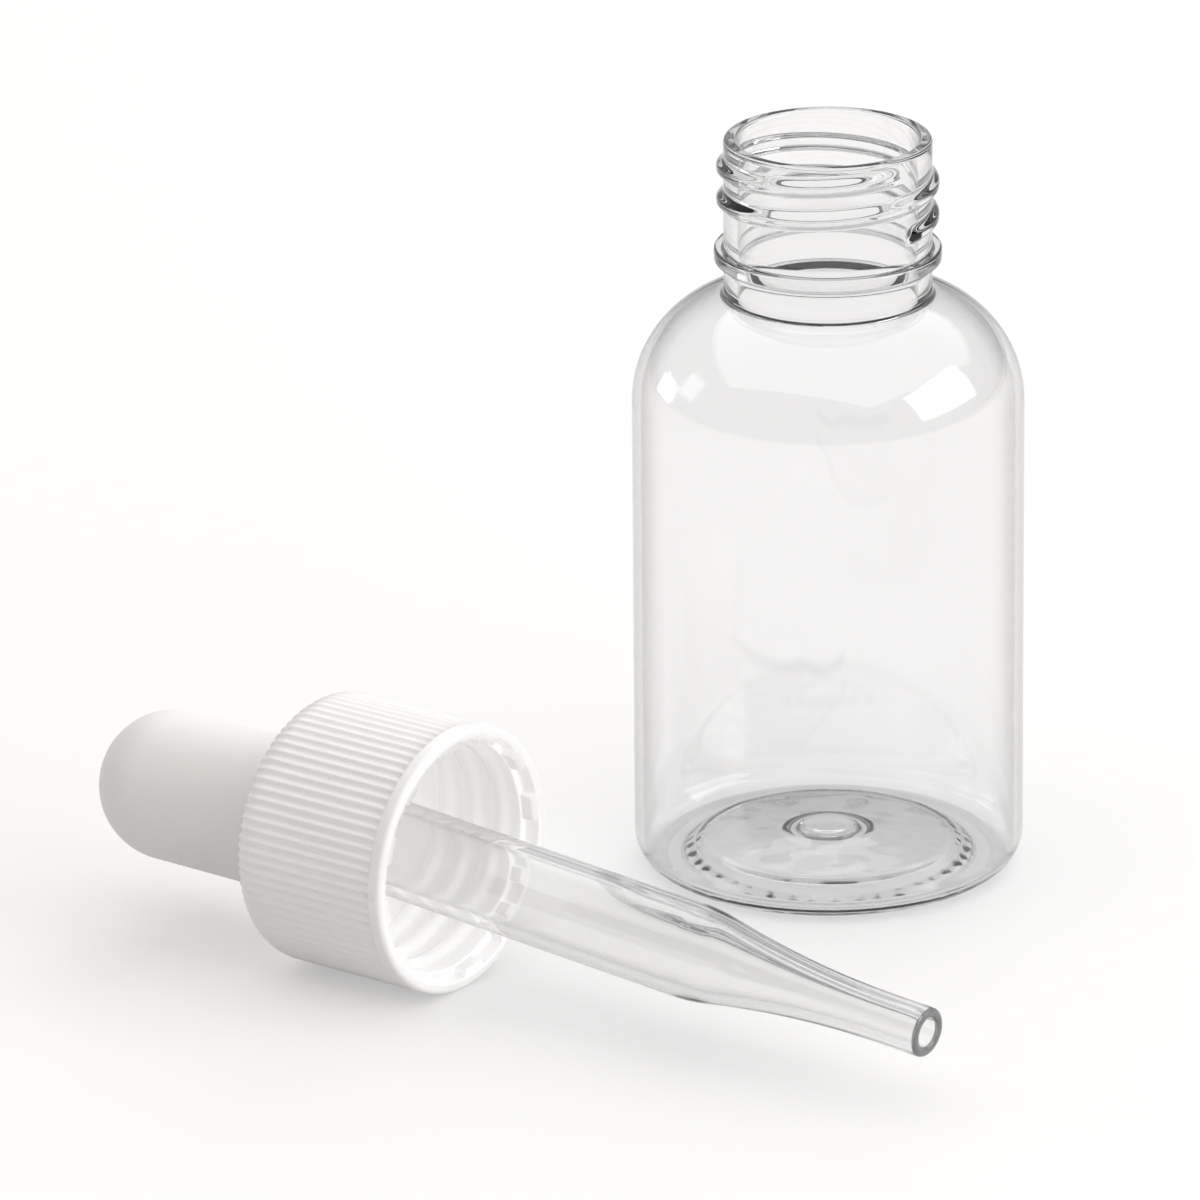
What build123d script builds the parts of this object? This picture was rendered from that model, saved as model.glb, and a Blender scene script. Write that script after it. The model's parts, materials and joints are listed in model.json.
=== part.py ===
from build123d import *
import math
import os

# A clear 40 ml bottle with a screw neck stands at the origin. Its dropper, taken off, lies beside it:
# a ribbed cap, a rubber bulb pushed through the cap's crown, and a glass pipette held in the bulb.
# Millimetres. +Z is up, the bottle's axis is Z, and the dropper's axis points along +X.

# Bottle body
body_diameter = 35.0
bottle_height = 68.0
body_wall = 0.8
heel_radius = 3.0
shoulder_radius = 10.4
shoulder_wall = 1.0

# Bottle base, pushed up in the middle so that it stands on a ring
base_wall = 1.0
stand_ring_width = 1.4
push_up_slope = 1.2
push_up_step = 1.2
push_up_height = 2.0
gate_nub_diameter = 5.0
gate_nub_height = 0.25
gate_ring_diameter = 7.2
gate_ring_depth = 0.25

# Neck, with the screw thread's crest as the largest diameter that the cap passes over
neck_diameter = 18.54
neck_bore_diameter = 16.04
finish_height = 14.1
rim_edge_radius = 0.35
neck_root_fillet = 0.6
bore_root_fillet = 0.5
thread_depth = 0.62
bead_depth = 0.86
bead_height = 1.26
bead_below_rim = 10.0
bead_edge_radius = 0.25

# Cap
cap_skirt_clearance = 0.27
cap_wall = 1.7
cap_crown = 1.7
cap_above_shoulder = 0.25
crown_edge_radius = 2.4
lip_height = 1.25
lip_edge_radius = 0.45
rib_count = 80
rib_depth = 0.26
rib_groove_radius = 0.42
lip_relief = 0.7
lip_relief_height = 1.5
lug_count = 12
lug_width = 2.5
lug_height = 1.1
lug_corner_radius = 0.25
lug_recess = 0.2
lug_phase = -8.5

# Bulb
bulb_diameter = 13.72
bulb_tip_diameter = 13.5
bulb_above_crown = 22.1
bulb_wall = 1.5
bulb_socket_depth = 8.0
flange_thickness = 1.2
flange_rim_clearance = 0.5
hole_clearance = 0.04
crown_clearance = 0.05

# Pipette
pipette_diameter = 8.49
pipette_wall = 0.95
pipette_tip_diameter = 4.4
pipette_tip_bore = 2.6
pipette_nose = 4.0
taper_angle = 11.0
taper_shoulder_radius = 15.0
tip_floor_gap = 1.0
socket_clearance = 0.03
fire_polish_radius = 0.4

# How the dropper lies beside the bottle
lay_gap = 15.4
cap_rim_x = -7.2
pipette_droop = 4.2

# Radii and heights that follow from the sizes above
body_r = body_diameter / 2
neck_r = neck_diameter / 2
bore_r = neck_bore_diameter / 2
bead_r = neck_r + bead_depth
floor_top = push_up_height + base_wall
shoulder_top = bottle_height - finish_height
shoulder_start = shoulder_top - shoulder_radius
cap_bore_r = max(neck_r + thread_depth, bead_r) + cap_skirt_clearance
cap_r = cap_bore_r + cap_wall
cap_depth = finish_height - cap_above_shoulder
crown_under = flange_thickness + crown_clearance
crown_top = crown_under + cap_crown
bulb_r = bulb_diameter / 2
bulb_tip_r = bulb_tip_diameter / 2
bulb_top = crown_top + bulb_above_crown
flange_r = cap_bore_r - flange_rim_clearance
pipette_r = pipette_diameter / 2
pipette_reach = bottle_height - floor_top - gate_nub_height - tip_floor_gap


def turned(outline):
    """The solid swept by an outline of (radius, height) edges about Z."""
    return revolve(Plane.XZ * make_face(outline), Axis.Z)


def rod(radius, low, high):
    """A plain round bar about Z from one height to another."""
    return Pos(0, 0, low) * Cylinder(radius, high - low, align=(Align.CENTER, Align.CENTER, Align.MIN))


def base_outline(lift, heel_x, heel_r, reach):
    """The pushed-up base as seen in section, lifted by a wall, out to the top of the heel arc."""
    inner = heel_x - stand_ring_width
    crest = inner - push_up_slope
    dome = TangentArc((0, push_up_height + lift), (crest, push_up_step + lift), tangent=(1, 0))
    slope = Line((crest, push_up_step + lift), (inner, lift))
    ring = Line((inner, lift), (heel_x, lift))
    heel = CenterArc((heel_x, lift + heel_r), heel_r, -90, 90)
    side = Line((heel_x + heel_r, lift + heel_r), (heel_x + heel_r, reach))
    return [dome, slope, ring, heel, side]


def shoulder_outline(radius, wall_x, neck_x, top):
    """The quarter-round shoulder from the body's wall to the neck, and the neck's wall up to the top."""
    centre = wall_x - radius
    angle = math.degrees(math.acos((neck_x - centre) / radius))
    meet = shoulder_start + radius * math.sin(math.radians(angle))
    shoulder = CenterArc((centre, shoulder_start), radius, 0, angle)
    return [shoulder, Line((neck_x, meet), (neck_x, top))], meet


def make_bottle():
    """The blown bottle: outer form less inner form, with the bead and the rounded rim."""
    heel_x = body_r - heel_radius
    outer, outer_meet = shoulder_outline(shoulder_radius, body_r, neck_r, bottle_height)
    shell = base_outline(0, heel_x, heel_radius, shoulder_start) + outer
    shell += [Line((neck_r, bottle_height), (0, bottle_height)), Line((0, bottle_height), (0, push_up_height))]
    solid = turned(shell)
    solid = fillet(edges_at(solid, neck_r, outer_meet), neck_root_fillet)
    bead_high = bottle_height - bead_below_rim
    bead = rod(bead_r, bead_high - bead_height, bead_high)
    bead_edges = bead.edges().filter_by(GeomType.CIRCLE)
    solid += fillet(bead_edges, bead_edge_radius)
    inner_wall = body_r - body_wall
    inner_radius = shoulder_radius - shoulder_wall
    inner, inner_meet = shoulder_outline(inner_radius, inner_wall, bore_r, bottle_height)
    hollow = base_outline(base_wall, heel_x, inner_wall - heel_x, shoulder_start) + inner
    hollow += [Line((bore_r, bottle_height), (0, bottle_height)), Line((0, bottle_height), (0, floor_top))]
    cavity = turned(hollow)
    solid -= fillet(edges_at(cavity, bore_r, inner_meet), bore_root_fillet)
    rim = edges_at(solid, neck_r, bottle_height) + edges_at(solid, bore_r, bottle_height)
    solid = fillet(rim, rim_edge_radius)
    nub = rod(gate_nub_diameter / 2, floor_top - base_wall / 2, floor_top + gate_nub_height)
    recess_top = push_up_height + gate_ring_depth
    recess = rod(gate_ring_diameter / 2, 0, recess_top) - rod(gate_nub_diameter / 2, 0, recess_top)
    return solid + nub - recess


def edges_at(solid, radius, height):
    """The round edges of a turned solid at one radius and height."""
    found = solid.edges().filter_by(GeomType.CIRCLE)
    return found.filter_by(lambda e: abs(e.radius - radius) < 1e-4 and abs(e.center().Z - height) < 1e-4)


def make_cap():
    """The ribbed screw cap, closed end up, with the bottle's rim plane at Z = 0."""
    blank = rod(cap_r, -cap_depth, crown_top)
    blank = fillet(edges_at(blank, cap_r, crown_top), crown_edge_radius)
    blank = fillet(edges_at(blank, cap_r, -cap_depth), lip_edge_radius)
    groove = rod(rib_groove_radius, lip_height - cap_depth, crown_top)
    blank -= PolarLocations(cap_r - rib_depth + rib_groove_radius, rib_count) * groove
    bore = rod(cap_bore_r, -cap_depth, crown_under)
    relief = rod(cap_bore_r + lip_relief, -cap_depth, lip_relief_height - cap_depth)
    hole = rod(bulb_r + hole_clearance, 0, crown_top)
    shell = blank - bore - relief - hole
    lug = Box(2 * lip_relief, lug_width, lug_height, align=(Align.CENTER, Align.CENTER, Align.MIN))
    lug = fillet(lug.edges().filter_by(Axis.Z).group_by(Axis.X)[0], lug_corner_radius)
    lug = Pos(0, 0, lug_recess - cap_depth) * lug
    return shell + PolarLocations(cap_bore_r + lip_relief, lug_count, start_angle=lug_phase) * lug


def make_bulb():
    """The rubber bulb: a flange under the crown, a socket for the pipette and a domed air chamber."""
    dome_start = bulb_top - bulb_tip_r
    flange = Polyline((0, 0), (flange_r, 0), (flange_r, flange_thickness), (bulb_r, flange_thickness))
    side = Polyline((bulb_r, flange_thickness), (bulb_r, crown_top), (bulb_tip_r, dome_start))
    dome = CenterArc((0, dome_start), bulb_tip_r, 0, 90)
    solid = turned([flange, side, dome, Line((0, bulb_top), (0, 0))])
    chamber_r = bulb_tip_r - bulb_wall
    wall = Polyline((0, bulb_socket_depth), (chamber_r, bulb_socket_depth), (chamber_r, dome_start))
    roof = CenterArc((0, dome_start), chamber_r, 0, 90)
    chamber = turned([wall, roof, Line((0, bulb_top - bulb_wall), (0, bulb_socket_depth))])
    socket = drooped(rod(pipette_r + socket_clearance, -bulb_socket_depth, bulb_socket_depth + socket_clearance))
    return solid - chamber - socket


def taper_outline(top_r, end_r, end):
    """One side of the pipette down to its tip: a short convex arc, then a long hollow one."""
    angle = math.radians(taper_angle)
    hollow_radius = (top_r - end_r) / (1 - math.cos(angle)) - taper_shoulder_radius
    nose = end + pipette_nose
    start = nose + (taper_shoulder_radius + hollow_radius) * math.sin(angle)
    return [
        Line((0, bulb_socket_depth), (top_r, bulb_socket_depth)),
        Line((top_r, bulb_socket_depth), (top_r, start)),
        CenterArc((top_r - taper_shoulder_radius, start), taper_shoulder_radius, 0, -taper_angle),
        CenterArc((end_r + hollow_radius, nose), hollow_radius, 180 - taper_angle, taper_angle),
        Line((end_r, nose), (end_r, end)),
        Line((end_r, end), (0, end)),
        Line((0, end), (0, bulb_socket_depth)),
    ]


def make_pipette():
    """The glass pipette, tip down, with the bottle's rim plane at Z = 0."""
    end = -pipette_reach
    tip_r = pipette_tip_diameter / 2
    tip_bore = pipette_tip_bore / 2
    solid = turned(taper_outline(pipette_r, tip_r, end))
    solid -= turned(taper_outline(pipette_r - pipette_wall, tip_bore, end))
    return fillet(edges_at(solid, tip_r, end) + edges_at(solid, tip_bore, end), fire_polish_radius)


def drooped(solid):
    """The solid leaned downwards about the rim plane's centre, as a loose pipette leans in its socket."""
    return Rot(0, pipette_droop, 0) * solid


def laid(solid):
    """The solid from the dropper's own upright frame to where the dropper lies."""
    axis_y = -(body_r + lay_gap + cap_r)
    return Location((cap_rim_x - cap_depth, axis_y, cap_r), (0, -90, 0)) * solid


def main():
    os.makedirs("parts", exist_ok=True)
    nodes = {
        "bottle": make_bottle(),
        "cap": laid(make_cap()),
        "bulb": laid(make_bulb()),
        "pipette": laid(drooped(make_pipette())),
    }
    for name, solid in nodes.items():
        export_step(solid, f"parts/{name}.step")
        box = solid.bounding_box()
        print(name, len(solid.solids()), round(solid.volume, 2), box.min, box.max)


if __name__ == "__main__":
    main()
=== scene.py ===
import json
import math

import bmesh
import bpy
from bpy.props import FloatProperty, FloatVectorProperty, IntProperty, PointerProperty
from mathutils import Matrix, Vector


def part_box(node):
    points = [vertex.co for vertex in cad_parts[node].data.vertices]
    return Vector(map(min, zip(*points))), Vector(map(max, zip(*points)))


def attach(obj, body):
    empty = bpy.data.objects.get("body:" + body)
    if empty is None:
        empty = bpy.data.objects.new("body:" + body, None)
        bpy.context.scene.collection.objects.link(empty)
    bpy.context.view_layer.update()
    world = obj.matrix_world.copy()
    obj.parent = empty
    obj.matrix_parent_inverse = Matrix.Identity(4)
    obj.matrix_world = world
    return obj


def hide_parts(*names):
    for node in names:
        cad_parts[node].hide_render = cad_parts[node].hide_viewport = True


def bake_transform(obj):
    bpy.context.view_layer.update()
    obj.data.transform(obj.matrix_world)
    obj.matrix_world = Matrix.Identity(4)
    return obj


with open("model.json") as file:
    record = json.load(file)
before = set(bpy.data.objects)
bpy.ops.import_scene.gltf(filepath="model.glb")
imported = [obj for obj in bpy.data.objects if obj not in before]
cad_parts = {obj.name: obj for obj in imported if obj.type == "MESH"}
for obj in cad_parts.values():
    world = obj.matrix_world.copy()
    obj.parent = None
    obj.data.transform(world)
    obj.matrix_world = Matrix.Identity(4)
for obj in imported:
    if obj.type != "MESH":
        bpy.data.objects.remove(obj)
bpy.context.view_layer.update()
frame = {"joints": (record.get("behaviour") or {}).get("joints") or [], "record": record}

bl_info = {
    "name": "Dropper Bottle",
    "version": (1, 0, 0),
    "blender": (4, 5, 0),
    "location": "View3D > Sidebar > Dropper",
    "description": "Dresses a screw-neck bottle and the dropper lying beside it",
    "category": "Object",
}

MM = 0.001
joints = {joint["name"]: joint for joint in frame["joints"]}
mounts = {mount["name"]: mount for mount in frame["record"]["mounts"]}
bottle_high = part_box("bottle")[1]
cap_low, cap_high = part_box("cap")
bulb_low, bulb_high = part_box("bulb")
seal_centre = Vector(joints["cap_turn"]["pos_m"])

BODY_R = bottle_high.x
HEIGHT = bottle_high.z
BORE_R = mounts["neck_bore"]["dims"]["r_mm"] * MM
CAP_R = (cap_high.z - cap_low.z) / 2
CAP_DEPTH = cap_high.x - seal_centre.x
CROWN_TOP = seal_centre.x - cap_low.x
BULB_TOP = seal_centre.x - bulb_low.x
FLANGE_R = (bulb_high.z - bulb_low.z) / 2

# The bottle's base: gate mark, the groove round it, the step down to the standing ring, and the marks.
PUSH_UP = 2.0 * MM
GATE_R = 2.5 * MM
GATE_RELIEF = 0.25 * MM
GROOVE_R = 3.6 * MM
STEP_R = 11.4 * MM
STEP_Z = 1.0 * MM
RING_R = 13.1 * MM
INNER_HEEL = 1.3 * MM
MARKS_MIDDLE = 12.47 * MM
MARKS_HALF_WIDTH = 0.47 * MM
PRESS_DEPTH = 0.05 * MM

# The bottle's neck. A thread's form is its lower flank, its crest and its upper flank, along the axis.
RIM_ROUNDING = 0.35 * MM
NECK_ROOT = 0.6 * MM
BORE_ROOT = 0.2 * MM
BEAD_BELOW_RIM = 10.0 * MM
BEAD_HEIGHT = 1.26 * MM
BEAD_ROUNDING = 0.25 * MM
NECK_THREAD_FORM = (0.62 * MM, 0.38 * MM, 0.95 * MM)
CAP_THREAD_FORM = (0.75 * MM, 0.6 * MM, 0.75 * MM)

# Small roundings of the cap and the bulb. The grooves begin over a short run at the lip, and fade on the
# crown's edge over this many degrees of slope.
HOLE_ROUNDING = 0.15 * MM
CROWN_CORNER = 0.4 * MM
BULB_ROUNDING = 0.25 * MM
GROOVE_RUN = 0.12 * MM
GROOVES_FADE_FROM = 50
GROOVES_FADE_OVER = 32

# The room that the glass mirrors is pale at its far end, this far round from +Y. The floor glows a little
# to the camera and to glass, so that it shows white and still keeps its shadows.
FAR_END = math.radians(50)
FLOOR_LIFT = 0.26

# Steps round each piece. The cap has a whole number of columns per rib, so that every groove is alike.
AROUND_BOTTLE = 256
AROUND_PIPETTE = 160
AROUND_BULB = 192
COLUMNS_PER_RIB = 8


def length(name, description, millimetres):
    """A size in metres, shown as a length."""
    return FloatProperty(name=name, description=description, default=millimetres * MM, unit="LENGTH",
                         precision=5, min=0.0)


def degrees(name, description, default):
    """A turn in radians, shown as an angle."""
    return FloatProperty(name=name, description=description, default=math.radians(default), subtype="ANGLE")


def point(name, description, default):
    """A point in the scene, in metres."""
    return FloatVectorProperty(name=name, description=description, default=default, subtype="TRANSLATION")


def count(name, description, default, most):
    """A count of what repeats round a piece."""
    return IntProperty(name=name, description=description, default=default, min=3, max=most)


def colour(name, description, default):
    """A colour swatch without alpha."""
    return FloatVectorProperty(name=name, description=description, default=default, subtype="COLOR",
                               size=3, min=0.0, max=1.0)


class DropperBottleSettings(bpy.types.PropertyGroup):
    """Sizes and colour of the blown bottle."""

    neck_radius: length("Neck radius", "Outside of the plain neck under the thread", 9.27)
    neck_height: length("Neck height", "From the shoulder to the rim", 14.1)
    shoulder_radius: length("Shoulder radius", "Quarter round between the body and the neck", 10.4)
    heel_radius: length("Heel radius", "Rounding between the body and the standing ring", 3.0)
    wall: length("Body wall", "Thickness of the blown wall", 0.8)
    shoulder_wall: length("Shoulder wall", "Thickness of the wall at the shoulder", 0.6)
    base_wall: length("Base wall", "Thickness of the base", 1.0)
    bead_depth: length("Bead depth", "How far the bead stands out of the neck", 0.86)
    thread_depth: length("Thread depth", "Height of the thread's crest over the neck", 0.62)
    thread_pitch: length("Thread pitch", "Rise of the thread in one turn", 3.0)
    thread_start: length("Thread start height", "Height of the thread's blunt start", 60.55)
    thread_start_angle: degrees("Thread start angle", "Where the thread starts, from +X", -6.4)
    thread_turns: FloatProperty(name="Thread turns", description="Turns of thread round the neck",
                                default=2.0, min=0.5, max=3.0)
    tint: colour("Tint", "Colour of the clear plastic", (0.975, 0.975, 0.977))


class DropperPipetteSettings(bpy.types.PropertyGroup):
    """Sizes and colour of the drawn glass pipette."""

    radius: length("Radius", "Outside of the straight tube", 4.245)
    wall: length("Wall", "Thickness of the glass", 0.95)
    tip_radius: length("Tip radius", "Outside of the tip", 2.2)
    tip_bore: length("Tip bore radius", "Hole in the tip", 1.3)
    nose: length("Nose", "Straight length at the tip", 4.0)
    reach: length("Reach", "From the sealing face to the tip", 63.75)
    socket: length("Socket", "Length held inside the bulb", 8.0)
    shoulder_arc: length("Taper shoulder radius", "Round of the glass where the taper begins", 15.0)
    tip_rounding: length("Fire polish", "Rounding of the melted tip", 0.4)
    taper_angle: degrees("Taper angle", "Steepest slope of the taper", 11.0)
    droop: degrees("Droop", "How far the loose pipette leans down in its socket", 4.2)
    tint: colour("Tint", "Colour of the glass", (0.94, 0.94, 0.938))


class DropperCapSettings(bpy.types.PropertyGroup):
    """Sizes and colour of the ribbed screw cap."""

    bore_radius: length("Bore radius", "Inside of the skirt", 10.4)
    crown_under: length("Crown underside", "From the sealing face to the crown's underside", 1.25)
    hole_radius: length("Hole radius", "Hole in the crown for the bulb", 6.9)
    crown_edge: length("Crown edge radius", "Rounding of the crown's edge", 2.4)
    lip_height: length("Lip height", "Plain band at the mouth, without ribs", 1.25)
    lip_edge: length("Lip rounding", "Rounding of the mouth's outer edge", 0.45)
    rib_depth: length("Rib depth", "Depth of the grooves between the ribs", 0.26)
    rib_groove: length("Groove radius", "Radius of each hollow groove", 0.42)
    relief: length("Mouth relief", "How much wider the mouth is than the bore", 0.7)
    relief_height: length("Relief height", "Depth of the wider mouth", 1.5)
    lug_width: length("Lug width", "Width of each lug in the mouth", 2.5)
    lug_height: length("Lug height", "Length of each lug along the cap", 1.1)
    lug_recess: length("Lug recess", "How far the lugs stand back from the mouth", 0.2)
    thread_depth: length("Thread depth", "Height of the inner thread", 0.55)
    thread_pitch: length("Thread pitch", "Rise of the inner thread in one turn", 3.0)
    rib_count: count("Ribs", "Number of ribs round the skirt", 80, 120)
    lug_count: count("Lugs", "Number of lugs in the mouth", 12, 24)
    lug_phase: degrees("Lug phase", "Angle of the first lug", -8.5)
    tint: colour("Colour", "Colour of the moulded plastic", (0.95, 0.943, 0.935))
    # The inside is painted lighter than the outside and glows faintly: painted light, for light that the thin
    # skirt lets through.
    painted_inner_tint: colour("Inner colour", "Colour inside, painted lighter for light that comes through", (0.985, 0.98, 0.975))
    painted_inner_glow: FloatProperty(name="Inner painted glow", description="Painted glow, for light that the thin skirt lets through",
                              default=0.12, min=0.0, max=1.0)


class DropperBulbSettings(bpy.types.PropertyGroup):
    """Sizes and colour of the rubber bulb."""

    radius: length("Radius", "Outside of the bulb at the crown", 6.86)
    tip_radius: length("Dome radius", "Radius of the domed end", 6.75)
    wall: length("Wall", "Thickness of the rubber", 1.5)
    flange: length("Flange", "Thickness of the flange that seals on the rim", 1.2)
    socket_gap: length("Socket gap", "Room round the glass in the socket", 0.03)
    tint: colour("Colour", "Colour of the rubber", (0.9, 0.893, 0.88))


class DropperStageSettings(bpy.types.PropertyGroup):
    """Camera, floor and lights."""

    camera_place: point("Camera", "Where the camera stands", (0.5890, -0.8274, 0.3935))
    camera_aim: point("Aim", "What the camera looks at", (-0.01643, -0.01220, 0.02467))
    camera_lens: FloatProperty(name="Lens", description="Focal length in millimetres",
                               default=361.7, min=1.0)
    camera_roll: degrees("Roll", "Turn of the camera about its own axis", -0.475)
    floor_size: length("Floor", "Side of the square floor", 6000.0)
    floor_tint: colour("Floor colour", "Colour of the floor", (0.68, 0.68, 0.68))


def arc(centre_r, centre_z, radius, start, end, steps):
    """Points (radius, height) along a round stretch, from one angle in degrees to another."""
    turn = [math.radians(start + (end - start) * i / steps) for i in range(steps + 1)]
    return [(centre_r + radius * math.cos(a), centre_z + radius * math.sin(a)) for a in turn]


def straight(start, end, steps):
    """Points (radius, height) along a straight stretch, without its first one."""
    return [(start[0] + (end[0] - start[0]) * i / steps, start[1] + (end[1] - start[1]) * i / steps)
            for i in range(1, steps + 1)]


def spin_outline(outline, around, closed=False):
    """A bmesh turned about Z from an outline of (radius, height) points."""
    mesh = bmesh.new()
    verts = [mesh.verts.new((radius, 0.0, height)) for radius, height in outline]
    edges = [mesh.edges.new(pair) for pair in zip(verts, verts[1:])]
    if closed:
        edges.append(mesh.edges.new((verts[-1], verts[0])))
    # Spinning slows down with the number of steps, so only a part is spun, and is then copied round.
    doublings = 3
    parts = 2 ** doublings
    turn = math.tau / parts
    steps = around // parts
    bmesh.ops.spin(mesh, geom=verts + edges, cent=(0, 0, 0), axis=(0, 0, 1), angle=turn, steps=steps)
    for _ in range(doublings):
        copy = bmesh.ops.duplicate(mesh, geom=mesh.verts[:] + mesh.edges[:] + mesh.faces[:])["geom"]
        copied = [item for item in copy if isinstance(item, bmesh.types.BMVert)]
        bmesh.ops.rotate(mesh, verts=copied, cent=(0, 0, 0), matrix=Matrix.Rotation(turn, 3, "Z"))
        turn *= 2
    bmesh.ops.remove_doubles(mesh, verts=mesh.verts, dist=1e-7)
    bmesh.ops.recalc_face_normals(mesh, faces=mesh.faces)
    return mesh


def ease(value):
    """A smooth step from 0 to 1."""
    value = min(max(value, 0.0), 1.0)
    return value * value * (3 - 2 * value)


def hump(offset, lower, crest, upper):
    """The height, from 0 to 1, of a thread's rounded ridge at an offset along the axis from its middle."""
    half = crest / 2
    if offset < 0:
        return 1 - ease((-offset - half) / lower)
    return 1 - ease((offset - half) / upper)


def finished(name, mesh, materials, body, nodes=()):
    """The object of a finished bmesh, riding on its body and standing for its CAD nodes."""
    data = bpy.data.meshes.new(name)
    mesh.to_mesh(data)
    mesh.free()
    data.polygons.foreach_set("use_smooth", [True] * len(data.polygons))
    for material in materials:
        data.materials.append(material)
    piece = bpy.data.objects.new(name, data)
    bpy.context.scene.collection.objects.link(piece)
    if body:
        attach(piece, body)
    if nodes:
        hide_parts(*nodes)
    return piece


def lay_down(mesh, droop=0.0):
    """Turns a bmesh from the dropper's own upright frame to where it lies, leaning by the droop."""
    lean = Matrix.Rotation(droop, 4, "Y")
    lie = Matrix.Translation(seal_centre) @ Matrix.Rotation(math.radians(-90), 4, "Y")
    bmesh.ops.transform(mesh, matrix=lie @ lean, verts=mesh.verts)


def thread_height(settings, angle, height):
    """How far the neck's thread stands out at an angle and height."""
    total = math.tau * settings.thread_turns
    turned = (angle - settings.thread_start_angle) % math.tau
    rise = (height - settings.thread_start) / settings.thread_pitch - turned / math.tau
    turned += math.tau * max(round(rise), 0)
    if turned >= total:
        return 0.0
    middle = settings.thread_start + settings.thread_pitch * turned / math.tau
    blunt_start = ease(turned / math.radians(9))
    long_finish = ease((total - turned) / math.radians(40))
    ridge = hump(height - middle, *NECK_THREAD_FORM)
    return settings.thread_depth * ridge * blunt_start * long_finish


def base_underside():
    """The underside from its middle out to the standing ring: gate mark, groove, dish, step and slope."""
    outline = [(0.0, PUSH_UP)]
    outline += straight(outline[-1], (GATE_R - 0.2 * MM, PUSH_UP), 4)
    outline += [(GATE_R, PUSH_UP + 0.05 * MM), (GATE_R + 0.1 * MM, PUSH_UP + GATE_RELIEF)]
    outline += straight(outline[-1], (GROOVE_R - 0.2 * MM, PUSH_UP + GATE_RELIEF), 3)
    outline += [(GROOVE_R - 0.1 * MM, PUSH_UP + 0.2 * MM), (GROOVE_R, PUSH_UP - 0.03 * MM)]
    outline += straight(outline[-1], (STEP_R - 0.4 * MM, STEP_Z + 0.32 * MM), 10)
    outline += [(STEP_R - 0.15 * MM, STEP_Z + 0.24 * MM), (STEP_R, STEP_Z)]
    outline += [(STEP_R + 0.25 * MM, STEP_Z - 0.14 * MM)]
    outline += straight(outline[-1], (RING_R - 0.5 * MM, 0.42 * MM), 6)
    outline += [(RING_R - 0.25 * MM, 0.2 * MM), (RING_R, 0.03 * MM), (RING_R + 0.2 * MM, 0.0)]
    return outline


def base_floor(start, wall):
    """The floor inside the bottle, from a start at its heel in to the gate nub in the middle."""
    top = PUSH_UP + wall
    outline = straight(start, (RING_R, wall), 3)
    outline += [(RING_R - 0.25 * MM, wall + 0.1 * MM), (RING_R - 0.5 * MM, wall + 0.3 * MM)]
    outline += straight(outline[-1], (STEP_R + 0.5 * MM, wall + 0.95 * MM), 3)
    outline += [(STEP_R + 0.2 * MM, wall + 1.13 * MM), (STEP_R - 0.2 * MM, wall + 1.24 * MM)]
    outline += straight(outline[-1], (GROOVE_R - 0.2 * MM, top - 0.04 * MM), 10)
    outline += [(GATE_R + 0.25 * MM, top - 0.02 * MM), (GATE_R + 0.05 * MM, top + 0.12 * MM)]
    outline += [(GATE_R - 0.15 * MM, top + GATE_RELIEF)]
    return outline + straight(outline[-1], (0.0, top + GATE_RELIEF), 5)


def neck_outside(s, start):
    """The neck's outside from its root up over the bead, the thread's room and the rim."""
    neck_r = s.neck_radius
    bead_r = neck_r + s.bead_depth
    bead_high = HEIGHT - BEAD_BELOW_RIM
    bead_low = bead_high - BEAD_HEIGHT
    rounded_r = bead_r - BEAD_ROUNDING
    rim_z = HEIGHT - RIM_ROUNDING
    outline = straight(start, (neck_r, bead_low), 3)
    outline += straight(outline[-1], (rounded_r, bead_low), 3)
    outline += arc(rounded_r, bead_low + BEAD_ROUNDING, BEAD_ROUNDING, -90, 0, 5)[1:]
    outline += straight(outline[-1], (bead_r, bead_high - BEAD_ROUNDING), 2)
    outline += arc(rounded_r, bead_high - BEAD_ROUNDING, BEAD_ROUNDING, 0, 90, 5)[1:]
    outline += straight(outline[-1], (neck_r + 0.12 * MM, bead_high), 2)
    outline += [(neck_r + 0.03 * MM, bead_high + 0.03 * MM), (neck_r, bead_high + 0.12 * MM)]
    outline += straight(outline[-1], (neck_r, s.thread_start - 1.1 * MM), 3)
    outline += straight(outline[-1], (neck_r, rim_z - 0.02 * MM), 86)
    return outline + arc(neck_r - RIM_ROUNDING, rim_z, RIM_ROUNDING, 0, 90, 6)


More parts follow.
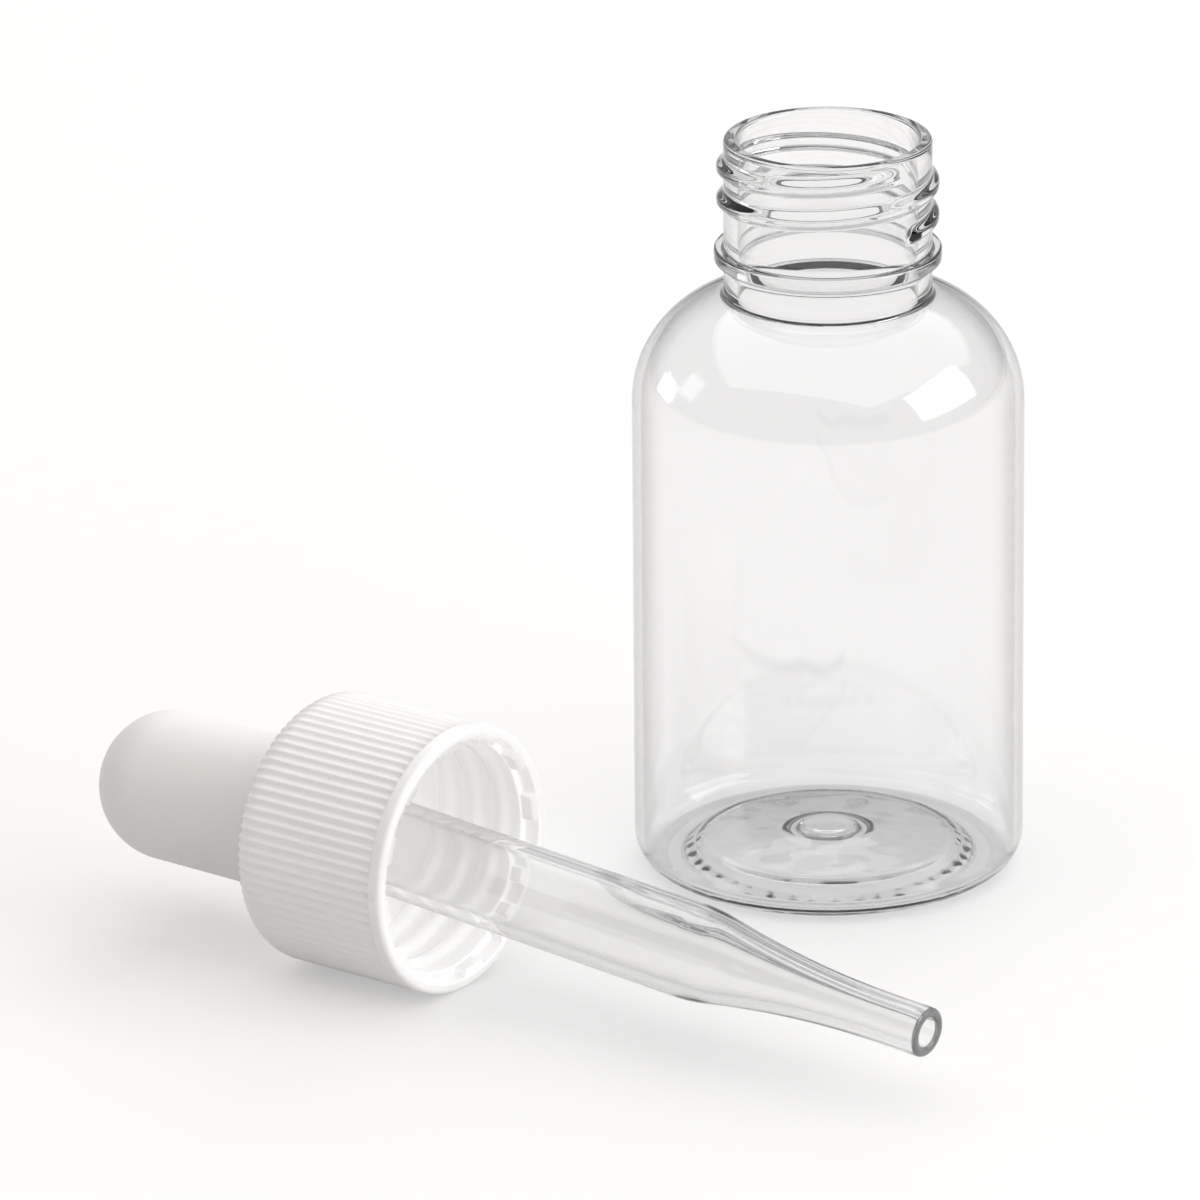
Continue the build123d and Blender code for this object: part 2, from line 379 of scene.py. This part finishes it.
def bottle_outline(s):
    """The bottle's section from the base's middle, up outside, over the rim and down inside."""
    heel_x = BODY_R - s.heel_radius
    shoulder_z = HEIGHT - s.neck_height - s.shoulder_radius
    centre = BODY_R - s.shoulder_radius
    reach = s.shoulder_radius + NECK_ROOT
    root_x = s.neck_radius + NECK_ROOT
    meet = math.degrees(math.acos((root_x - centre) / reach))
    root_z = shoulder_z + reach * math.sin(math.radians(meet))
    outline = base_underside()
    outline += straight(outline[-1], (heel_x, 0.0), 4)
    outline += arc(heel_x, s.heel_radius, s.heel_radius, -90, 0, 16)[1:]
    outline += straight(outline[-1], (BODY_R, shoulder_z), 10)
    outline += arc(centre, shoulder_z, s.shoulder_radius, 0, meet, 30)[1:]
    outline += arc(root_x, root_z, NECK_ROOT, 180 + meet, 180, 6)[1:]
    outline += neck_outside(s, outline[-1])

    inner_r = s.shoulder_radius - s.shoulder_wall
    inner_wall = BODY_R - s.wall
    inner_centre = inner_wall - inner_r
    inner_reach = inner_r + BORE_ROOT
    inner_root_x = BORE_R + BORE_ROOT
    inner_meet = math.degrees(math.acos((inner_root_x - inner_centre) / inner_reach))
    inner_root_z = shoulder_z + inner_reach * math.sin(math.radians(inner_meet))
    inner_heel_z = s.base_wall + INNER_HEEL
    outline += straight(outline[-1], (BORE_R + RIM_ROUNDING, HEIGHT), 2)
    outline += arc(BORE_R + RIM_ROUNDING, HEIGHT - RIM_ROUNDING, RIM_ROUNDING, 90, 180, 6)[1:]
    outline += straight(outline[-1], (BORE_R, inner_root_z), 8)
    outline += arc(inner_root_x, inner_root_z, BORE_ROOT, 180, 180 + inner_meet, 10)[1:]
    outline += arc(inner_centre, shoulder_z, inner_r, inner_meet, 0, 30)[1:]
    outline += straight(outline[-1], (inner_wall, inner_heel_z), 10)
    outline += arc(inner_wall - INNER_HEEL, inner_heel_z, INNER_HEEL, 0, -90, 12)[1:]
    return outline + base_floor(outline[-1], s.base_wall)


def shape_base(vert, radius, turn):
    """Presses a ring of marks into the underside and leaves the blown floor slightly uneven."""
    x, y, z = (value / MM for value in vert.co)
    # A height in millimetres, as x, y and z are, between the underside and the floor inside.
    between_skins = 2.5 - 0.07 * radius / MM
    across = 1 - abs(radius - MARKS_MIDDLE) / MARKS_HALF_WIDTH
    if z < between_skins and across > 0:
        marks = math.sin(40 * turn) + 0.7 * math.sin(27 * turn + 1.0)
        vert.co.z += PRESS_DEPTH * ease(across * 1.6) * ease(0.4 + 1.4 * marks)
    elif z > between_skins and radius < STEP_R - 0.2 * MM:
        uneven = math.sin(0.95 * x + 0.35 * y + 1.0) * math.sin(0.75 * y - 0.45 * x + 0.4)
        uneven += 0.5 * math.sin(1.7 * y + 0.6 * x) * math.sin(1.3 * x - 0.8 * y + 2.0)
        fade_out = ease((STEP_R - 0.2 * MM - radius) / (1.5 * MM))
        vert.co.z += PRESS_DEPTH * uneven * fade_out * ease((radius - GATE_R - 0.1 * MM) / (1.0 * MM))


def shape_bottle(s, vert):
    """Raises the thread, or shapes the base, at one vertex of the bottle."""
    radius = math.hypot(vert.co.x, vert.co.y)
    turn = math.atan2(vert.co.y, vert.co.x)
    thread_room = s.thread_start - 1.2 * MM < vert.co.z < HEIGHT - RIM_ROUNDING - 0.01 * MM
    if thread_room and radius > s.neck_radius - 1e-6:
        out = thread_height(s, turn, vert.co.z)
        vert.co.x *= (radius + out) / radius
        vert.co.y *= (radius + out) / radius
    elif vert.co.z < 4 * MM:
        shape_base(vert, radius, turn)


class DROPPER_OT_bottle(bpy.types.Operator):
    """Blow the clear bottle with its thread, bead and pushed-up base"""

    bl_idname = "dropper.bottle"
    bl_label = "Clear Bottle"

    def execute(self, context):
        s = context.scene.dropper_bottle
        mesh = spin_outline(bottle_outline(s), AROUND_BOTTLE)
        for vert in mesh.verts:
            shape_bottle(s, vert)
        material = clear_material("clear_bottle", s.tint, ior=1.53, density=60.0, edge=0.25)
        finished("clear_bottle_shell", mesh, [material], "bottle", ["bottle"])
        return {"FINISHED"}


def taper_outline(s, top_r, end_r, end_z):
    """One side of the pipette from its socket end down to its tip."""
    hollow = (top_r - end_r) / (1 - math.cos(s.taper_angle)) - s.shoulder_arc
    nose = end_z + s.nose
    start = nose + (s.shoulder_arc + hollow) * math.sin(s.taper_angle)
    steepest = math.degrees(s.taper_angle)
    points = [(top_r, s.socket)]
    points += straight(points[-1], (top_r, start), 8)
    points += arc(top_r - s.shoulder_arc, start, s.shoulder_arc, 0, -steepest, 12)[1:]
    points += arc(end_r + hollow, nose, hollow, 180 - steepest, 180, 24)[1:]
    return points


class DROPPER_OT_pipette(bpy.types.Operator):
    """Draw the glass pipette and lean it in the bulb's socket"""

    bl_idname = "dropper.pipette"
    bl_label = "Glass Pipette"

    def execute(self, context):
        s = context.scene.dropper_pipette
        end = -s.reach
        polish = s.tip_rounding
        outside = taper_outline(s, s.radius, s.tip_radius, end)
        outside += straight(outside[-1], (s.tip_radius, end + polish), 3)
        outside += arc(s.tip_radius - polish, end + polish, polish, 0, -90, 8)[1:]
        inside = arc(s.tip_bore + polish, end + polish, polish, -90, -180, 8)
        bore = taper_outline(s, s.radius - s.wall, s.tip_bore, end)
        inside += straight(inside[-1], bore[-1], 3)
        inside += bore[-2::-1]
        mesh = spin_outline(outside + inside, AROUND_PIPETTE, closed=True)
        # The end ring gets a second material that lets less light through and shows more of its own colour:
        # partly a frosted end, partly painted light that makes the ring a lighter grey.
        for face in mesh.faces:
            if face.calc_center_median().z < end + 0.9 * polish:
                face.material_index = 1
        lay_down(mesh, s.droop)
        material = clear_material("clear_pipette", s.tint, ior=1.5, density=35.0, edge=0.45)
        tip_frost_and_painted_light = clear_material("clear_pipette_tip", s.tint, ior=1.5, density=35.0, edge=0.4)
        tip_frost_and_painted_light.node_tree.nodes["Principled BSDF"].inputs["Transmission Weight"].default_value = 0.8
        finished("glass_pipette_tube", mesh, [material, tip_frost_and_painted_light], "dropper", ["pipette"])
        return {"FINISHED"}


def cap_outline(s):
    """The cap's closed section: up outside from the mouth, over the crown and down inside."""
    mouth = -CAP_DEPTH
    edge = s.lip_edge
    crown_x = CAP_R - s.crown_edge
    crown_z = CROWN_TOP - s.crown_edge
    hole_x = s.hole_radius + HOLE_ROUNDING
    corner_x = s.bore_radius - CROWN_CORNER
    relief_r = s.bore_radius + s.relief
    relief_top = mouth + s.relief_height
    lug_low = mouth + s.lug_recess
    lug_top = lug_low + s.lug_height
    outline = arc(CAP_R - edge, mouth + edge, edge, -90, 0, 8)
    outline += straight(outline[-1], (CAP_R, mouth + s.lip_height - 0.08 * MM), 3)
    outline += straight(outline[-1], (CAP_R, mouth + s.lip_height + 0.14 * MM), 4)
    outline += straight(outline[-1], (CAP_R, crown_z), 10)
    outline += arc(crown_x, crown_z, s.crown_edge, 0, 90, 16)[1:]
    outline += straight(outline[-1], (hole_x, CROWN_TOP), 4)
    outline += arc(hole_x, CROWN_TOP - HOLE_ROUNDING, HOLE_ROUNDING, 90, 180, 3)[1:]
    outline += straight(outline[-1], (s.hole_radius, s.crown_under), 3)
    outline += straight(outline[-1], (corner_x, s.crown_under), 4)
    outline += arc(corner_x, s.crown_under - CROWN_CORNER, CROWN_CORNER, 90, 0, 4)[1:]
    outline += straight(outline[-1], (s.bore_radius, relief_top + 0.3 * MM), 44)
    outline += straight(outline[-1], (s.bore_radius, relief_top + 0.05 * MM), 2)
    outline += straight(outline[-1], (s.bore_radius + 0.1 * MM, relief_top), 1)
    outline += straight(outline[-1], (relief_r - 0.1 * MM, relief_top), 4)
    outline += straight(outline[-1], (relief_r, relief_top - 0.08 * MM), 1)
    outline += straight(outline[-1], (relief_r, lug_top + 0.06 * MM), 1)
    outline += straight(outline[-1], (relief_r, lug_top - 0.06 * MM), 2)
    outline += straight(outline[-1], (relief_r, lug_low + 0.1 * MM), 4)
    outline += straight(outline[-1], (relief_r, lug_low - 0.04 * MM), 3)
    outline += straight(outline[-1], (relief_r + 0.05 * MM, mouth + 0.05 * MM), 2)
    return outline + straight(outline[-1], (relief_r + 0.15 * MM, mouth), 1)


def groove_radius(s, angle):
    """The radius of the groove's floor at an angle, or none on the crest of a rib."""
    centre = CAP_R - s.rib_depth + s.rib_groove
    pitch = math.tau / s.rib_count
    off = (angle + pitch / 2) % pitch - pitch / 2
    across = centre * math.sin(off)
    if abs(across) >= s.rib_groove:
        return None
    return centre * math.cos(off) - math.sqrt(s.rib_groove ** 2 - across ** 2)


def shape_cap_outside(s, vert, radius, angle):
    """Cuts the rib grooves into one outside vertex of the cap, also round the crown's edge."""
    height = vert.co.z
    grooved = ease((height + CAP_DEPTH - s.lip_height) / GROOVE_RUN)
    floor = groove_radius(s, angle)
    if not grooved or floor is None:
        return
    depth = max(CAP_R - floor, 0.0) * grooved
    centre_r = CAP_R - s.crown_edge
    centre_z = CROWN_TOP - s.crown_edge
    if height <= centre_z:
        inward = Vector((1.0, 0.0))
    else:
        inward = Vector((radius - centre_r, height - centre_z)).normalized()
        slope = math.degrees(math.atan2(inward.y, inward.x))
        depth *= 1 - ease((slope - GROOVES_FADE_FROM) / GROOVES_FADE_OVER)
    radius_new = radius - depth * inward.x
    vert.co.z = height - depth * inward.y
    vert.co.x *= radius_new / radius
    vert.co.y *= radius_new / radius


def shape_cap_inside(s, vert, radius, angle):
    """Raises the inner thread and the mouth's lugs at one inside vertex of the cap."""
    height = vert.co.z
    mouth = -CAP_DEPTH
    rise = 0.0
    if abs(radius - s.bore_radius) < 0.02 * MM:
        first = mouth + s.relief_height + 1.4 * MM
        last = -1.0 * MM
        turn = angle / math.tau % 1
        middle = first + s.thread_pitch * (turn + round((height - first) / s.thread_pitch - turn))
        fade = ease((middle - first + 0.5 * MM) / (0.6 * MM)) * ease((last - middle) / (0.8 * MM))
        rise = s.thread_depth * fade * hump(height - middle, *CAP_THREAD_FORM)
    elif s.bore_radius + 0.5 * s.relief < radius < s.bore_radius + s.relief + 0.02 * MM:
        low = mouth + s.lug_recess
        high = low + s.lug_height
        if low <= height <= high:
            pitch = math.tau / s.lug_count
            off = abs((angle - s.lug_phase + pitch / 2) % pitch - pitch / 2) * s.bore_radius
            rise = s.relief * (1 - ease((off - s.lug_width / 2 + 0.12 * MM) / (0.2 * MM)))
    if rise:
        vert.co.x *= (radius - rise) / radius
        vert.co.y *= (radius - rise) / radius


def shape_cap(s, vert):
    """Shapes one vertex of the cap, by the skin that it lies on."""
    radius = math.hypot(vert.co.x, vert.co.y)
    turn = math.atan2(vert.co.y, vert.co.x)
    outer_skin = s.bore_radius + 0.85 * (CAP_R - s.bore_radius)
    on_skirt = radius > outer_skin and vert.co.z > s.lip_height - CAP_DEPTH
    on_crown_edge = radius > CAP_R - s.crown_edge and vert.co.z > CROWN_TOP - s.crown_edge
    if on_skirt or on_crown_edge:
        shape_cap_outside(s, vert, radius, turn)
    elif vert.co.z < 0:
        shape_cap_inside(s, vert, radius, turn)


class DROPPER_OT_cap(bpy.types.Operator):
    """Mould the ribbed cap with its inner thread and the lugs in its mouth"""

    bl_idname = "dropper.cap"
    bl_label = "Ribbed Cap"

    def execute(self, context):
        s = context.scene.dropper_cap
        mesh = spin_outline(cap_outline(s), s.rib_count * COLUMNS_PER_RIB, closed=True)
        for vert in mesh.verts:
            shape_cap(s, vert)
        deep = s.bore_radius + s.relief + 0.1 * MM
        for face in mesh.faces:
            middle = face.calc_center_median()
            if middle.z < s.crown_under and math.hypot(middle.x, middle.y) < deep:
                face.material_index = 1
        lay_down(mesh)
        outside = moulded_material("white_cap", s.tint, roughness=0.3, soft=0.35, depth=1.2 * MM,
                                   grain_strength=0.03, grain_scale=900.0, lamp_share=0.78)
        # The inside material is painted lighter and emits a little light: a painted glow, standing in for
        # light that comes through the thin skirt.
        inside = moulded_material("white_cap_inside_painted_glow", s.painted_inner_tint, roughness=0.25, soft=0.5,
                                  depth=3.0 * MM, grain_strength=0.02, grain_scale=900.0, lamp_share=0.78)
        through = inside.node_tree.nodes["Principled BSDF"]
        through.inputs["Emission Color"].default_value = (1.0, 0.985, 0.97, 1.0)
        through.inputs["Emission Strength"].default_value = s.painted_inner_glow
        finished("ribbed_screw_cap", mesh, [outside, inside], "cap", ["cap"])
        return {"FINISHED"}


class DROPPER_OT_bulb(bpy.types.Operator):
    """Mould the rubber bulb with its flange and the socket that holds the glass"""

    bl_idname = "dropper.bulb"
    bl_label = "Rubber Bulb"

    def execute(self, context):
        s = context.scene.dropper_bulb
        pipette = context.scene.dropper_pipette
        dome_z = BULB_TOP - s.tip_radius
        chamber_r = s.tip_radius - s.wall
        socket_r = pipette.radius + s.socket_gap
        edge = BULB_ROUNDING
        outline = arc(0.0, dome_z, s.tip_radius, 90, 0, 28)
        outline += straight(outline[-1], (s.radius, CROWN_TOP), 20)
        outline += straight(outline[-1], (s.radius, s.flange), 4)
        outline += straight(outline[-1], (FLANGE_R - edge, s.flange), 4)
        outline += arc(FLANGE_R - edge, s.flange - edge, edge, 90, 0, 3)[1:]
        outline += arc(FLANGE_R - edge, edge, edge, 0, -90, 3)
        outline += straight(outline[-1], (socket_r + edge, 0.0), 5)
        outline += arc(socket_r + edge, edge, edge, -90, -180, 3)[1:]
        outline += straight(outline[-1], (socket_r, pipette.socket), 6)
        outline += straight(outline[-1], (chamber_r, pipette.socket + 0.05 * MM), 2)
        outline += straight(outline[-1], (chamber_r, dome_z), 8)
        outline += arc(0.0, dome_z, chamber_r, 0, 90, 16)[1:]
        mesh = spin_outline(outline, AROUND_BULB)
        reach = socket_r + edge + 1e-6
        low = [vert for vert in mesh.verts if vert.co.z <= pipette.socket + 1e-6]
        socket = [vert for vert in low if math.hypot(vert.co.x, vert.co.y) < reach]
        lean = Matrix.Rotation(pipette.droop, 3, "Y")
        bmesh.ops.rotate(mesh, verts=socket, cent=(0, 0, 0), matrix=lean)
        lay_down(mesh)
        material = moulded_material("white_rubber", s.tint, roughness=0.62, soft=0.2, depth=1.2 * MM,
                                    grain_strength=0.06, grain_scale=1600.0)
        bulb = finished("rubber_bulb", mesh, [material], None, ["bulb"])
        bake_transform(bulb)
        return {"FINISHED"}


def group_sockets(group, inputs, outputs):
    """Adds named float sockets to a node group."""
    for names, side in ((inputs, "INPUT"), (outputs, "OUTPUT")):
        for name in names:
            group.interface.new_socket(name, in_out=side, socket_type="NodeSocketFloat")


def surface_grain():
    """The shared group: fine grain for bump and a slow cloud that shifts shade and roughness."""
    group = bpy.data.node_groups.get("surface_grain")
    if group:
        return group
    group = bpy.data.node_groups.new("surface_grain", "ShaderNodeTree")
    group_sockets(group, inputs=["Grain Scale", "Cloud Scale", "Roughness", "Spread"],
                  outputs=["Height", "Cloud", "Roughness"])
    nodes, links = group.nodes, group.links
    entry = nodes.new("NodeGroupInput")
    leave = nodes.new("NodeGroupOutput")
    place = nodes.new("ShaderNodeTexCoord")
    grain = nodes.new("ShaderNodeTexNoise")
    cloud = nodes.new("ShaderNodeTexNoise")
    grain.inputs["Detail"].default_value = 3.0
    cloud.inputs["Detail"].default_value = 2.0
    spread = nodes.new("ShaderNodeMath")
    spread.operation = "MULTIPLY_ADD"
    centre = nodes.new("ShaderNodeMath")
    centre.operation = "SUBTRACT"
    centre.inputs[1].default_value = 0.5
    for texture, scale in ((grain, "Grain Scale"), (cloud, "Cloud Scale")):
        links.new(place.outputs["Object"], texture.inputs["Vector"])
        links.new(entry.outputs[scale], texture.inputs["Scale"])
    links.new(cloud.outputs["Fac"], centre.inputs[0])
    links.new(centre.outputs[0], spread.inputs[0])
    links.new(entry.outputs["Spread"], spread.inputs[1])
    links.new(entry.outputs["Roughness"], spread.inputs[2])
    links.new(grain.outputs["Fac"], leave.inputs["Height"])
    links.new(cloud.outputs["Fac"], leave.inputs["Cloud"])
    links.new(spread.outputs[0], leave.inputs["Roughness"])
    return group


def new_material(name, lamp_share=0.0):
    """A node material and its Principled shader. Each skin lets the lamp share of the lamps' light through."""
    material = bpy.data.materials.new(name)
    material.use_nodes = True
    nodes, links = material.node_tree.nodes, material.node_tree.links
    shader, output = nodes["Principled BSDF"], nodes["Material Output"]
    if lamp_share:
        path = nodes.new("ShaderNodeLightPath")
        clear = nodes.new("ShaderNodeBsdfTransparent")
        clear.inputs["Color"].default_value = (lamp_share, lamp_share, lamp_share, 1.0)
        mix = nodes.new("ShaderNodeMixShader")
        links.new(path.outputs["Is Shadow Ray"], mix.inputs["Fac"])
        links.new(shader.outputs["BSDF"], mix.inputs[1])
        links.new(clear.outputs["BSDF"], mix.inputs[2])
        links.new(mix.outputs["Shader"], output.inputs["Surface"])
    return material, nodes, links, shader


def add_grain(nodes, links, shader, scale, cloud, roughness, spread, strength):
    """Adds the shared grain to a shader's roughness and, as a bump of the given strength, to its normal."""
    grain = nodes.new("ShaderNodeGroup")
    grain.node_tree = surface_grain()
    grain.inputs["Grain Scale"].default_value = scale
    grain.inputs["Cloud Scale"].default_value = cloud
    grain.inputs["Roughness"].default_value = roughness
    grain.inputs["Spread"].default_value = spread
    bump = nodes.new("ShaderNodeBump")
    bump.inputs["Strength"].default_value = strength
    bump.inputs["Distance"].default_value = 0.05 * MM
    links.new(grain.outputs["Height"], bump.inputs["Height"])
    links.new(grain.outputs["Roughness"], shader.inputs["Roughness"])
    links.new(bump.outputs["Normal"], shader.inputs["Normal"])
    return grain


def mix_colours(nodes, links, shader, factor, first, second):
    """Mixes two colours by a factor into a shader's base colour."""
    shade = nodes.new("ShaderNodeMix")
    shade.data_type = "RGBA"
    shade.inputs["A"].default_value = (*first, 1.0)
    shade.inputs["B"].default_value = (*second, 1.0)
    links.new(factor, shade.inputs["Factor"])
    links.new(shade.outputs["Result"], shader.inputs["Base Color"])


def clear_material(name, tint, ior, density, edge):
    """Clear glass or plastic, faintly wavy, darker with depth, and with painted shade that darkens its colour
    at a slant. The lamps shine through it.
    """
    material, nodes, links, shader = new_material(name, lamp_share=0.92)
    shader.inputs["Transmission Weight"].default_value = 1.0
    shader.inputs["IOR"].default_value = ior
    add_grain(nodes, links, shader, scale=90.0, cloud=140.0, roughness=0.0, spread=0.0, strength=0.05)
    # Painted shade: the colour darkens by the edge factor where the surface slants away from the view, for the
    # dark edges of the glass.
    slant = nodes.new("ShaderNodeLayerWeight")
    slant.inputs["Blend"].default_value = 0.5
    rim = nodes.new("ShaderNodeMapRange")
    rim.inputs["From Min"].default_value = 0.54
    links.new(slant.outputs["Facing"], rim.inputs["Value"])
    mix_colours(nodes, links, shader, rim.outputs["Result"], tint, [edge * c for c in tint])
    depth = nodes.new("ShaderNodeVolumeAbsorption")
    depth.inputs["Color"].default_value = (0.37, 0.365, 0.36, 1.0)
    depth.inputs["Density"].default_value = density
    links.new(depth.outputs["Volume"], nodes["Material Output"].inputs["Volume"])
    return material


def moulded_material(name, tint, roughness, soft, depth, grain_strength, grain_scale, lamp_share=0.0):
    """White moulded plastic or rubber with fine grain, into which light sinks."""
    material, nodes, links, shader = new_material(name, lamp_share)
    shader.inputs["Subsurface Weight"].default_value = soft
    shader.inputs["Subsurface Radius"].default_value = (1.0, 0.92, 0.84)
    shader.inputs["Subsurface Scale"].default_value = depth
    shader.inputs["Subsurface Anisotropy"].default_value = 0.6
    shader.inputs["IOR"].default_value = 1.49
    grain = add_grain(nodes, links, shader, scale=grain_scale, cloud=120.0, roughness=roughness,
                      spread=0.12, strength=grain_strength)
    darker = [c * 0.985 for c in tint]
    lighter = [min(c * 1.01, 1.0) for c in tint]
    mix_colours(nodes, links, shader, grain.outputs["Cloud"], darker, lighter)
    return material


def any_ray(nodes, links, names):
    """A value that is 1 where the ray is one of the named kinds."""
    path = nodes.new("ShaderNodeLightPath")
    total = path.outputs[names[0]]
    for name in names[1:]:
        either = nodes.new("ShaderNodeMath")
        either.operation = "MAXIMUM"
        links.new(total, either.inputs[0])
        links.new(path.outputs[name], either.inputs[1])
        total = either.outputs[0]
    return total


def floor_material(tint):
    """A pale floor that keeps the shadow and shows white to the camera and in the glass."""
    material, nodes, links, shader = new_material("pale_floor")
    nodes.remove(shader)
    matt = nodes.new("ShaderNodeBsdfDiffuse")
    matt.inputs["Color"].default_value = (*tint, 1.0)
    lift = nodes.new("ShaderNodeEmission")
    lift.inputs["Color"].default_value = (1.0, 1.0, 1.0, 1.0)
    strength = nodes.new("ShaderNodeMath")
    strength.operation = "MULTIPLY"
    strength.inputs[1].default_value = FLOOR_LIFT
    in_view = any_ray(nodes, links, ["Is Camera Ray", "Is Glossy Ray", "Is Transmission Ray"])
    links.new(in_view, strength.inputs[0])
    links.new(strength.outputs[0], lift.inputs["Strength"])
    both = nodes.new("ShaderNodeAddShader")
    links.new(matt.outputs["BSDF"], both.inputs[0])
    links.new(lift.outputs["Emission"], both.inputs[1])
    links.new(both.outputs["Shader"], nodes["Material Output"].inputs["Surface"])
    return material


def background(nodes, colour, strength):
    """A background of one colour."""
    node = nodes.new("ShaderNodeBackground")
    node.inputs["Color"].default_value = (*colour, 1.0)
    node.inputs["Strength"].default_value = strength
    return node.outputs["Background"]


def choose(nodes, links, chosen, otherwise, rays):
    """One shader for the named kinds of ray, and another for all others."""
    mix = nodes.new("ShaderNodeMixShader")
    links.new(any_ray(nodes, links, rays), mix.inputs["Fac"])
    links.new(otherwise, mix.inputs[1])
    links.new(chosen, mix.inputs[2])
    return mix.outputs["Shader"]


def studio_world():
    """White to the camera; a room, pale at its far end, to glass; soft warm light for the rest."""
    world = bpy.data.worlds.new("soft_studio")
    world.use_nodes = True
    nodes, links = world.node_tree.nodes, world.node_tree.links
    direction = nodes.new("ShaderNodeTexCoord")
    across = nodes.new("ShaderNodeVectorMath")
    across.operation = "DOT_PRODUCT"
    across.inputs[1].default_value = (-math.sin(FAR_END), math.cos(FAR_END), 0.0)
    ramp = nodes.new("ShaderNodeValToRGB")
    near, far = ramp.color_ramp.elements
    near.position, near.color = 0.0, (0.15, 0.15, 0.154, 1.0)
    far.position, far.color = 0.9, (0.62, 0.62, 0.62, 1.0)
    room = nodes["Background"]
    room.inputs["Strength"].default_value = 1.0
    links.new(direction.outputs["Generated"], across.inputs[0])
    links.new(across.outputs["Value"], ramp.inputs["Fac"])
    links.new(ramp.outputs["Color"], room.inputs["Color"])
    soft = background(nodes, (1.0, 0.92, 0.85), 0.2)
    white = background(nodes, (1.0, 1.0, 1.0), 1.0)
    pale_room = room.outputs["Background"]
    mirrored = choose(nodes, links, pale_room, soft, ["Is Glossy Ray", "Is Transmission Ray"])
    seen = choose(nodes, links, white, mirrored, ["Is Camera Ray"])
    links.new(seen, nodes["World Output"].inputs["Surface"])
    return world


def soft_box(name, turn, lift, distance, size, glow):
    """A rectangular lamp at a compass turn and lift in degrees; a glow of 1 looks white."""
    turn, lift = math.radians(turn), math.radians(lift)
    towards = Vector((math.cos(turn) * math.cos(lift), math.sin(turn) * math.cos(lift), math.sin(lift)))
    lamp = bpy.data.lights.new(name, "AREA")
    lamp.shape = "RECTANGLE"
    lamp.size, lamp.size_y = size
    lamp.energy = glow * math.pi * size[0] * size[1]
    box = bpy.data.objects.new(name, lamp)
    bpy.context.scene.collection.objects.link(box)
    box.location = towards * distance
    box.rotation_mode = "QUATERNION"
    box.rotation_quaternion = (-towards).to_track_quat("-Z", "Y")
    box.visible_camera = False
    return box


class DROPPER_OT_stage(bpy.types.Operator):
    """Set up the floor, the soft lights and the camera"""

    bl_idname = "dropper.stage"
    bl_label = "Stage"

    def execute(self, context):
        scene = context.scene
        s = scene.dropper_stage
        mesh = bmesh.new()
        bmesh.ops.create_grid(mesh, x_segments=1, y_segments=1, size=s.floor_size / 2)
        data = bpy.data.meshes.new("floor")
        mesh.to_mesh(data)
        mesh.free()
        data.materials.append(floor_material(s.floor_tint))
        floor = bpy.data.objects.new("floor", data)
        scene.collection.objects.link(floor)
        scene.world = studio_world()
        overhead = soft_box("overhead_box", turn=100.0, lift=89.0, distance=1.1, size=(2.5, 2.7), glow=0.92)
        overhead.location += Vector((0.05, 0.35, 0.0))
        soft_box("right_box", turn=25.0, lift=25.0, distance=3.0, size=(2.4, 1.4), glow=3.0)
        soft_box("left_box", turn=-169.0, lift=7.0, distance=3.0, size=(0.84, 0.6), glow=2.4)
        soft_box("left_panel", turn=-152.0, lift=20.0, distance=3.0, size=(0.7, 0.9), glow=1.2)
        fills = [soft_box("front_box", turn=-14.0, lift=18.0, distance=3.0, size=(1.8, 1.2), glow=4.4),
                 soft_box("back_box", turn=108.0, lift=30.0, distance=3.0, size=(1.8, 1.2), glow=3.2)]
        for fill in fills:
            fill.visible_glossy = False
            fill.visible_transmission = False
        lens = bpy.data.cameras.new("photo_camera")
        lens.lens = s.camera_lens
        lens.sensor_width = 36.0
        camera = bpy.data.objects.new("photo_camera", lens)
        scene.collection.objects.link(camera)
        place = Vector(s.camera_place)
        camera.location = place
        camera.rotation_mode = "QUATERNION"
        look = (Vector(s.camera_aim) - place).to_track_quat("-Z", "Y")
        camera.rotation_quaternion = look @ Matrix.Rotation(s.camera_roll, 3, "Z").to_quaternion()
        lens.clip_start = 0.01
        lens.clip_end = 20.0
        scene.camera = camera
        scene.view_settings.view_transform = "Standard"
        return {"FINISHED"}


STEPS = ["bottle", "pipette", "cap", "bulb", "stage"]


class DROPPER_PT_panel(bpy.types.Panel):
    """Lists the steps that make the dropper bottle"""

    bl_idname = "DROPPER_PT_panel"
    bl_label = "Dropper Bottle"
    bl_space_type = "VIEW_3D"
    bl_region_type = "UI"
    bl_category = "Dropper"

    def draw(self, context):
        for step in STEPS:
            self.layout.operator(f"dropper.{step}")


SETTINGS = {
    "dropper_bottle": DropperBottleSettings,
    "dropper_pipette": DropperPipetteSettings,
    "dropper_cap": DropperCapSettings,
    "dropper_bulb": DropperBulbSettings,
    "dropper_stage": DropperStageSettings,
}
CLASSES = [*SETTINGS.values(), DROPPER_OT_bottle, DROPPER_OT_pipette, DROPPER_OT_cap, DROPPER_OT_bulb,
           DROPPER_OT_stage, DROPPER_PT_panel]


def register():
    """Registers the classes and hangs the settings on the scene."""
    for cls in CLASSES:
        bpy.utils.register_class(cls)
    for name, group in SETTINGS.items():
        setattr(bpy.types.Scene, name, PointerProperty(type=group))


def unregister():
    """Takes the settings and the classes away again."""
    for name in SETTINGS:
        delattr(bpy.types.Scene, name)
    for cls in reversed(CLASSES):
        bpy.utils.unregister_class(cls)


def main():
    """Makes every piece and the stage."""
    register()
    for step in STEPS:
        getattr(bpy.ops.dropper, step)()


if __name__ == "__main__":
    main()
